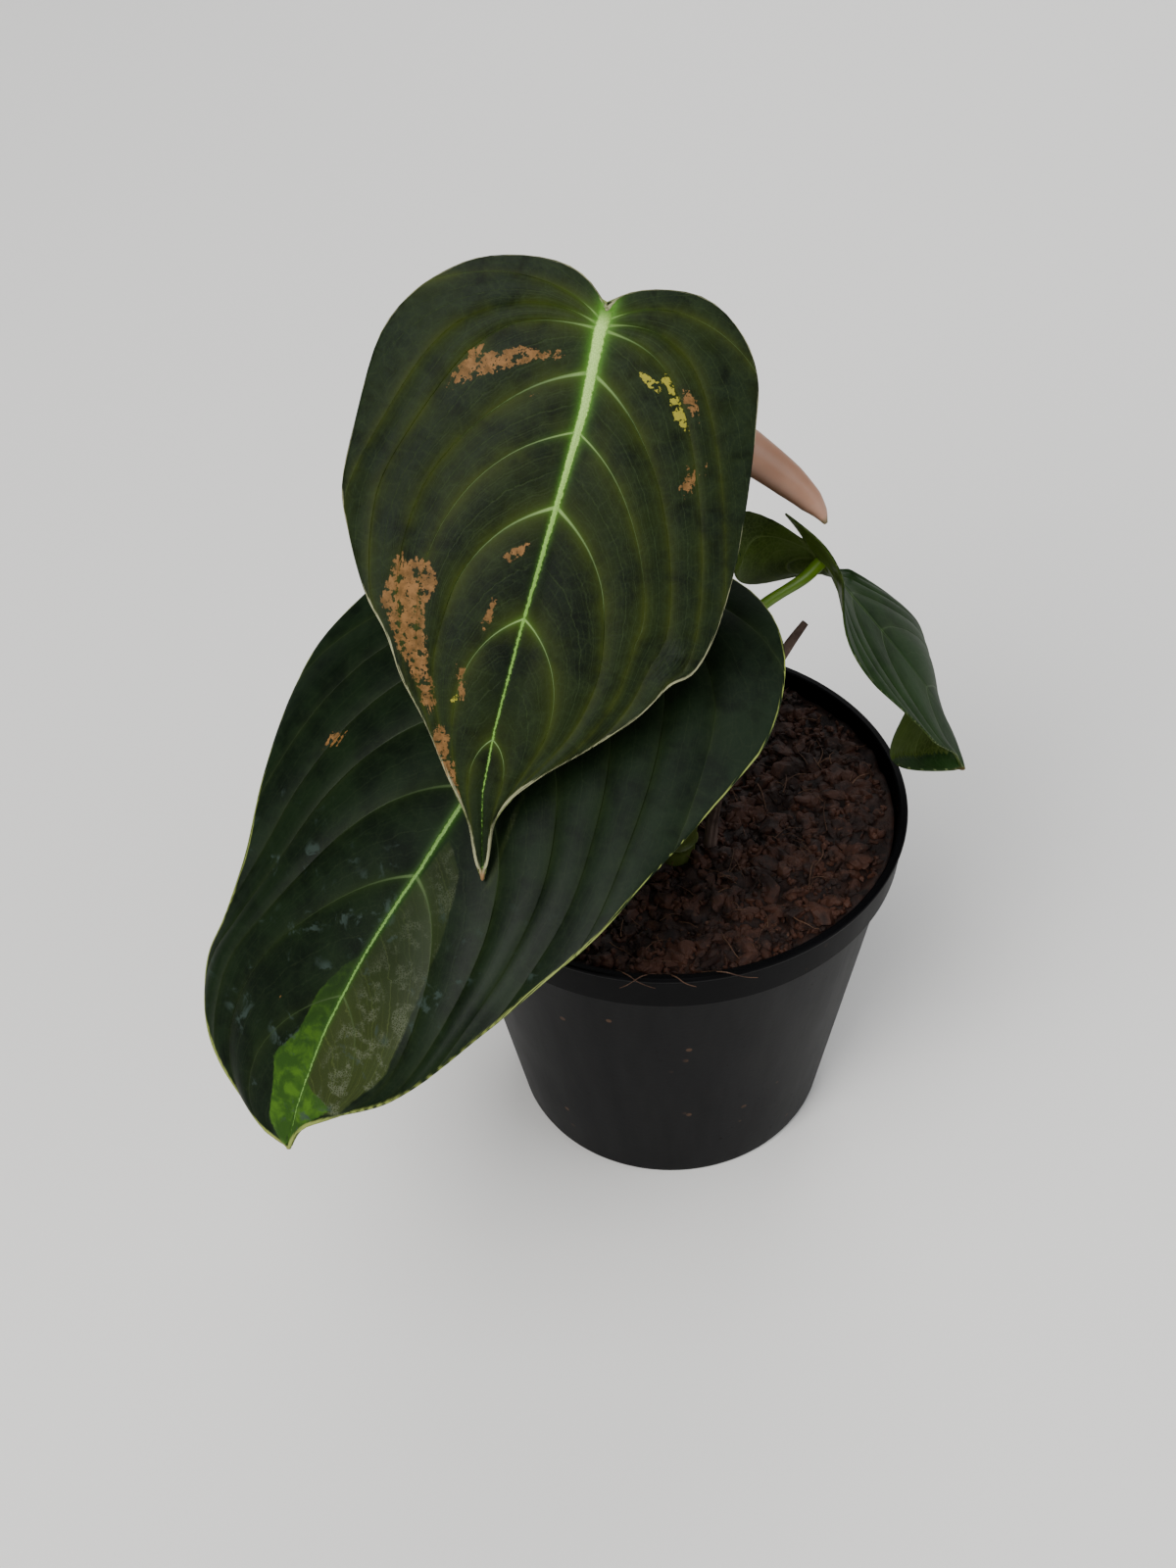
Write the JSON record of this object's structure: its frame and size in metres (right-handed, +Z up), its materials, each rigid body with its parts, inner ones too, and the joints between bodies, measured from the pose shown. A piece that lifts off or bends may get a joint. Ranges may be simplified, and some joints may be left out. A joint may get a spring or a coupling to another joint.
{
  "type": "potted philodendron",
  "caption": "Young velvet-leaved climbing philodendron with heart-shaped, gold-splashed leaves, growing in a black plastic nursery pot of coarse mix",
  "frame": {"origin": "middle of the pot's flat underside, where it rests on the floor", "axes": "+Z up along the pot's axis; -Y is the front, towards which the two large leaves hang; +X is the side of the small leaf"},
  "size_m": [0.1807, 0.1621, 0.2539],
  "materials": {
    "pot_plastic": "semi-gloss black moulded plastic, finely worn",
    "mix": "damp bark chips and coir fibre",
    "green_stem": "smooth living green skin, satin",
    "blade_variegated": "velvet olive green with pale veins and gold patches",
    "blade_dark": "dark green with a soft shine and a pale margin",
    "blade_side": "grey green above, yellow green below",
    "new_leaf": "smooth salmon pink, satin",
    "dry_sheath": "dry, papery, pink brown"
  },
  "bodies": {
    "root": {"pot": "pot_plastic", "potting_mix": "mix", "stem": "green_stem", "leaf_front": "blade_variegated", "leaf_low": "blade_dark", "leaf_side": "blade_side", "stalk_front": "green_stem", "stalk_low": "green_stem", "stalk_side": "green_stem", "stalk_new": "green_stem", "leaf_new_rolled": "new_leaf", "sheath_dry": "dry_sheath"}
  },
  "joints": []
}
